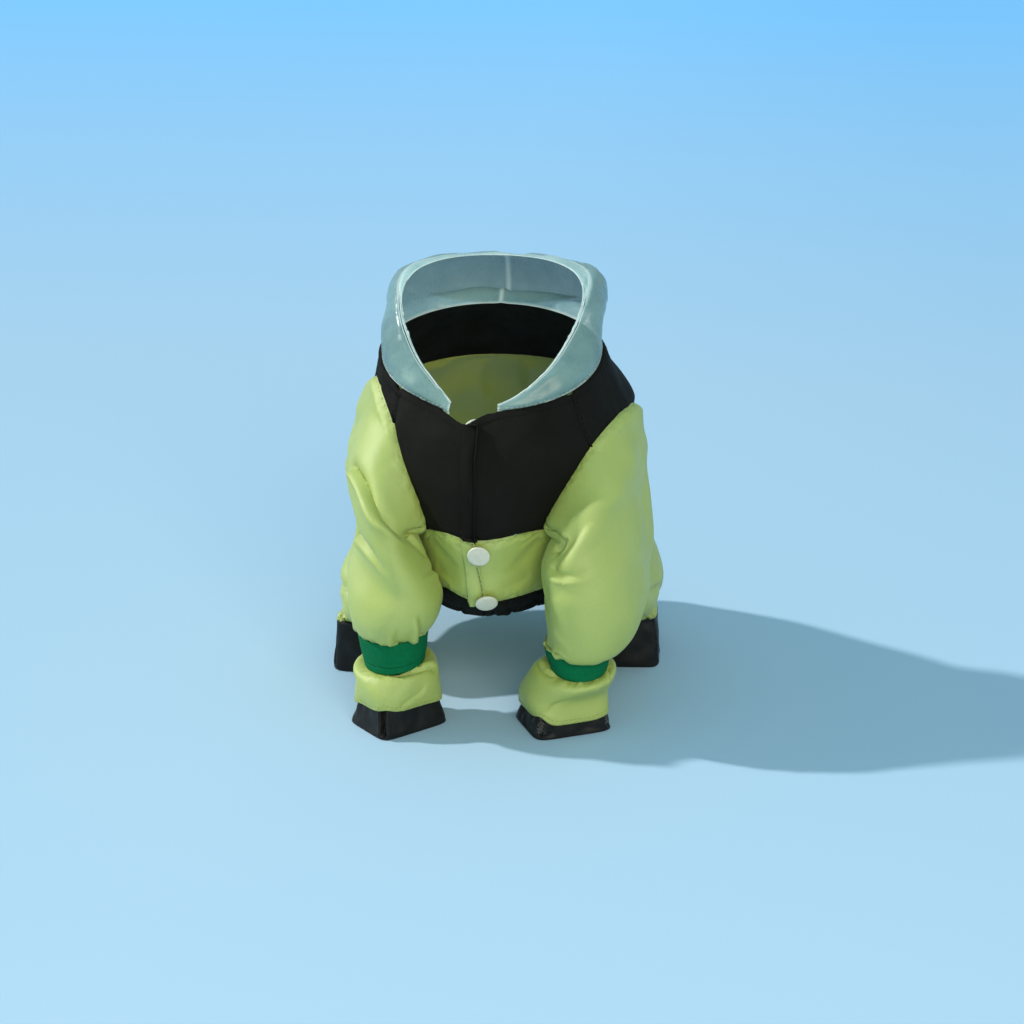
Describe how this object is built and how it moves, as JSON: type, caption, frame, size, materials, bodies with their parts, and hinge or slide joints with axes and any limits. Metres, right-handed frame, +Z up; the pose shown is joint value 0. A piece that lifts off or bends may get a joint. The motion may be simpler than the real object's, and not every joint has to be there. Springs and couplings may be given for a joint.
{
  "type": "dog raincoat",
  "caption": "Raincoat for a small dog, filled out as worn: black yoke, lime body and legs, green bands, black boots, a pale film hood and a snapped placket.",
  "frame": {"origin": "on the inside of the back yoke, on the middle line behind the neck, where the wearer's withers hold the coat up", "axes": "+Z up as worn by a seated dog, -Y towards the placket and the wearer's front, +X to the wearer's left"},
  "size_m": [0.2065, 0.2539, 0.2635],
  "materials": {
    "black_cloth": "soft matt woven shell",
    "lime_cloth": "fine water-repellent taffeta with a soft sheen",
    "green_rib": "dense elastic rib",
    "boot_cloth": "coated cloth, satin, shiny on its creases",
    "hood_film": "thin see-through film, wavy, satin",
    "snap": "smooth moulded resin"
  },
  "bodies": {
    "root": {"front_yoke_left": "black_cloth", "front_yoke_right": "black_cloth", "back_yoke": "black_cloth", "placket_yoke": "black_cloth", "hem_left": "black_cloth", "hem_right": "black_cloth", "belly_left": "lime_cloth", "belly_right": "lime_cloth", "back": "lime_cloth", "placket_belly": "lime_cloth", "sleeve_left": "lime_cloth", "sleeve_right": "lime_cloth", "gaiter_left": "lime_cloth", "gaiter_right": "lime_cloth", "hind_leg_left": "lime_cloth", "hind_leg_right": "lime_cloth", "band_left": "green_rib", "band_right": "green_rib", "boot_front_left": "boot_cloth", "boot_front_right": "boot_cloth", "boot_hind_left": "boot_cloth", "boot_hind_right": "boot_cloth", "hood_left": "hood_film", "hood_right": "hood_film", "hood_brim": "hood_film", "snap_neck": "snap", "snap_belly": "snap", "snap_hem": "snap"}
  },
  "joints": []
}
